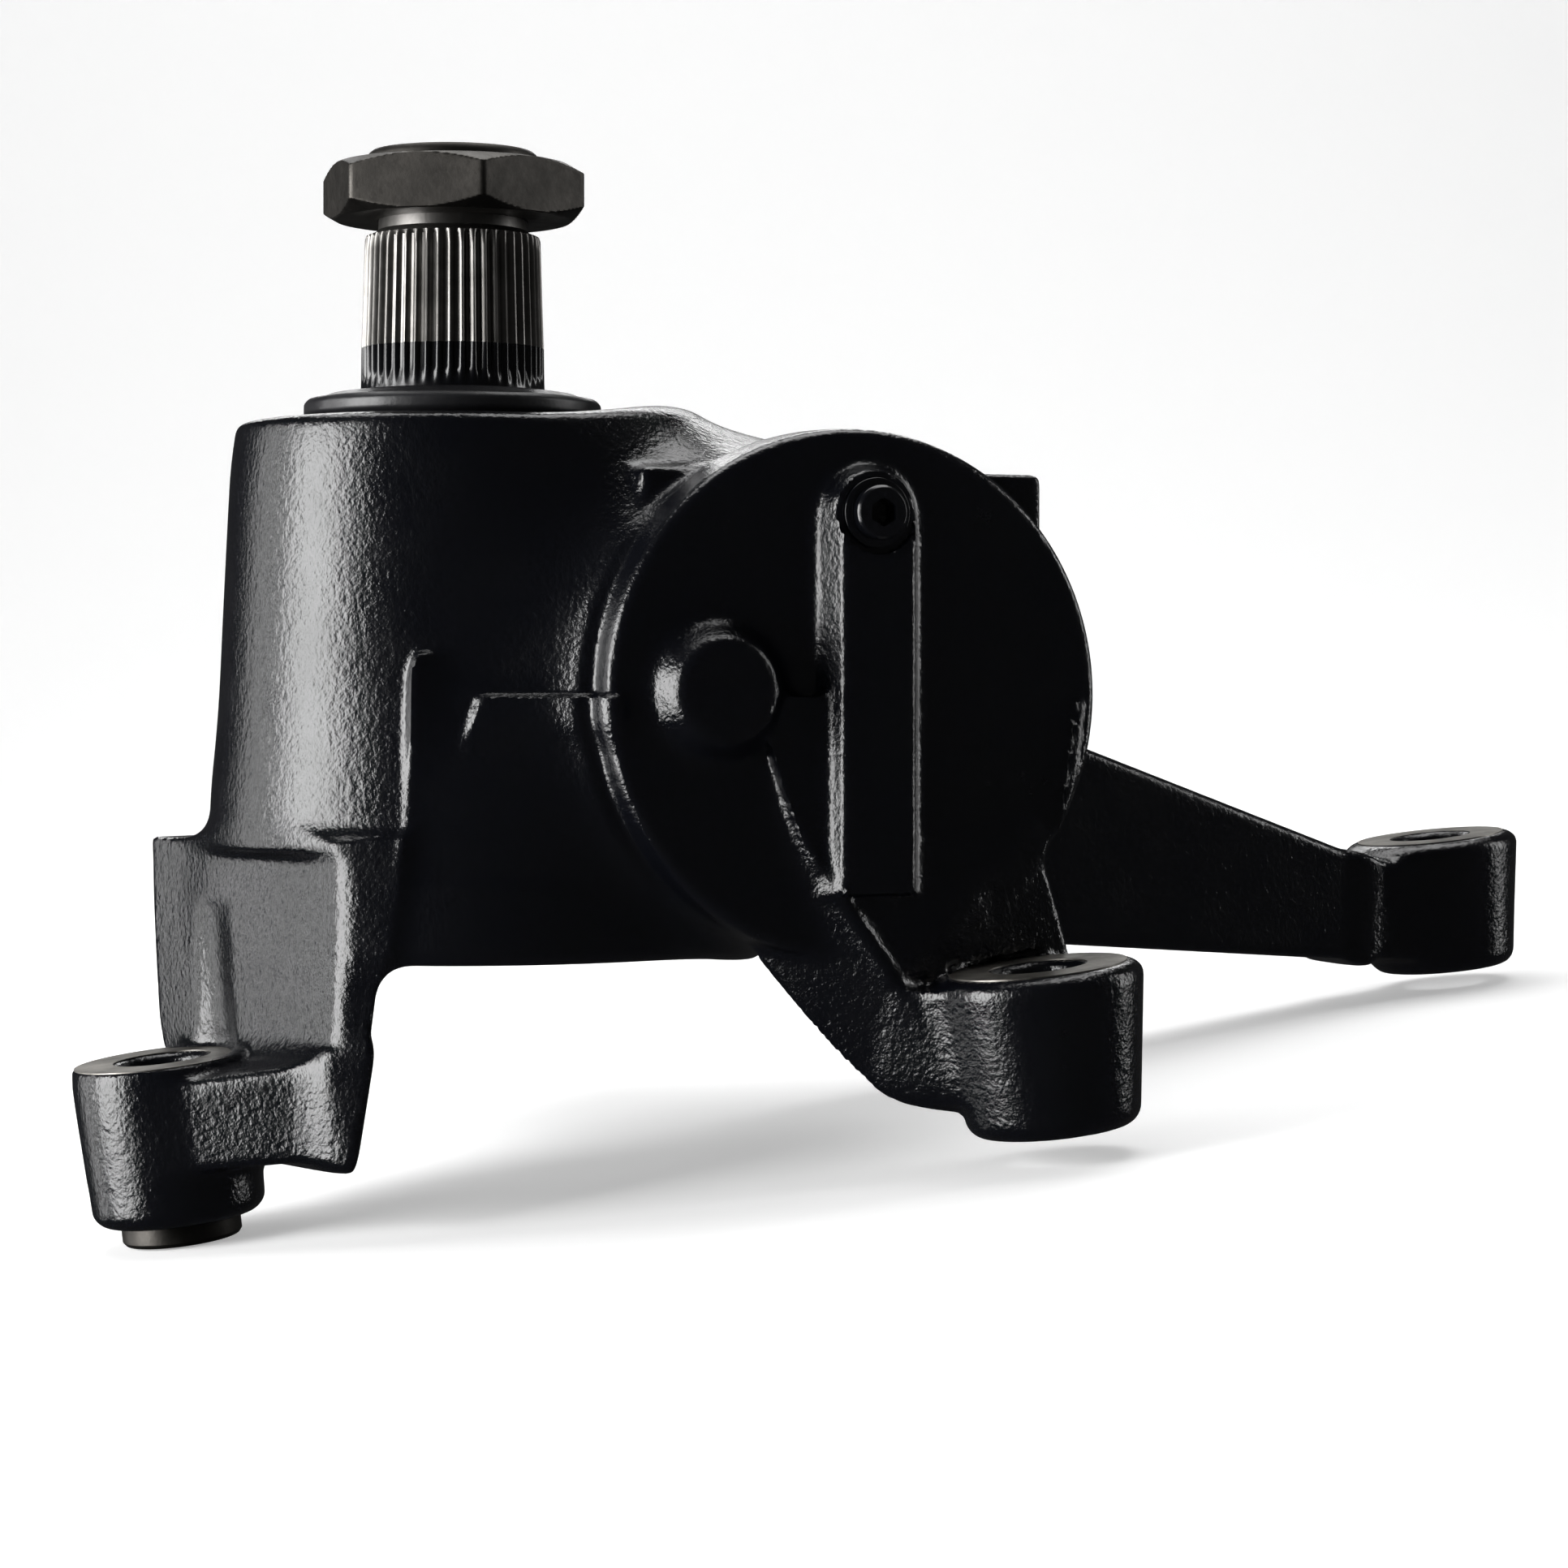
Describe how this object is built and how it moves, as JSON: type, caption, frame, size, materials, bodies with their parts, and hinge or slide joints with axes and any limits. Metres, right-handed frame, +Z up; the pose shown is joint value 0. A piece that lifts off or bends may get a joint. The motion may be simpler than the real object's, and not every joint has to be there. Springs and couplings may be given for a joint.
{
  "type": "worm gearbox",
  "caption": "Recirculating-ball worm gearbox of a power steering gear: cast housing with mounting lugs, splined input shaft, serrated output shaft with hexagon nut.",
  "frame": {"origin": "centre of the bounding box's bottom face, where the gear stands on its mounting lugs", "axes": "+Y along the worm from the closed end to the input shaft, +Z up out of the lug faces; the sector shaft leans 6.7 degrees from +Z towards +X"},
  "size_m": [0.3864, 0.2924, 0.2244],
  "materials": {
    "black_paint": "gloss over sand-cast iron",
    "black_oxide": "black oxide",
    "steel": "ground",
    "dark_steel": "case hardened",
    "rubber": "matt",
    "ptfe": "matt",
    "plug_plastic": "matt"
  },
  "bodies": {
    "housing": {"gear_housing": "black_paint", "side_cover": "black_paint", "valve_housing": "black_paint", "stop_screw": "black_paint", "stop_screw_seal": "black_paint", "side_cover_seal": "rubber", "sector_oil_seal": "rubber", "valve_housing_seal": "rubber", "input_oil_seal": "rubber", "input_dust_cap": "rubber", "adjuster_lock_nut": "black_oxide", "adjuster_screw": "steel", "seal_retaining_ring": "black_oxide", "sector_bearing_upper": "steel", "sector_bearing_lower": "steel", "worm_bearing": "steel", "input_bearing": "steel", "pressure_port_plug": "plug_plastic", "return_port_plug": "plug_plastic", "lug_sleeve_left": "steel", "lug_sleeve_right": "steel", "side_cover_bolt_1": "black_paint", "side_cover_bolt_2": "black_paint", "side_cover_bolt_3": "black_paint", "side_cover_bolt_4": "black_paint", "side_cover_bolt_5": "black_paint", "side_cover_bolt_6": "black_paint", "valve_housing_bolt_1": "black_oxide", "valve_housing_bolt_2": "black_oxide", "valve_housing_bolt_3": "black_oxide", "valve_housing_bolt_4": "black_oxide"},
    "worm": {"worm_shaft": "steel", "torsion_bar": "steel", "torsion_pin_front": "dark_steel", "valve_sleeve": "steel", "valve_sleeve_ring_1": "ptfe", "valve_sleeve_ring_2": "ptfe", "valve_sleeve_ring_3": "ptfe"},
    "rack": {"rack_piston": "dark_steel", "piston_ring": "ptfe", "piston_end_plug": "steel", "ball_train": "steel", "ball_return_guide": "steel", "return_guide_clamp": "steel", "guide_clamp_screw_1": "black_oxide", "guide_clamp_screw_2": "black_oxide"},
    "sector": {"sector_shaft": "dark_steel", "pitman_nut": "black_oxide", "dust_cover": "rubber"},
    "input": {"input_shaft": "steel", "torsion_pin_rear": "dark_steel"}
  },
  "joints": [
    {"name": "rack_slide", "type": "slide", "parent": "housing", "child": "rack", "axis": [0, 1, 0], "range_m": [-0.0232, 0.0232]},
    {"name": "input_turn", "type": "hinge", "parent": "housing", "child": "worm", "pos_m": [-0.03692, 0.0902, 0.09903], "axis": [0, 1, 0], "range_deg": [-700, 700]},
    {"name": "sector_turn", "type": "hinge", "parent": "housing", "child": "sector", "pos_m": [-0.10247, -0.0418, 0.10673], "axis": [0.1167, 0, 0.9932], "range_deg": [-37, 37]},
    {"name": "valve_twist", "type": "hinge", "parent": "worm", "child": "input", "pos_m": [-0.03692, 0.0902, 0.09903], "axis": [0, 1, 0], "range_deg": [-4, 4], "stiffness_Nm_per_rad": 100}
  ],
  "couplings": [
    {"joint": "input_turn", "follows": "rack_slide", "rad_per_m": -523.6},
    {"joint": "sector_turn", "follows": "rack_slide", "rad_per_m": 27.778}
  ]
}
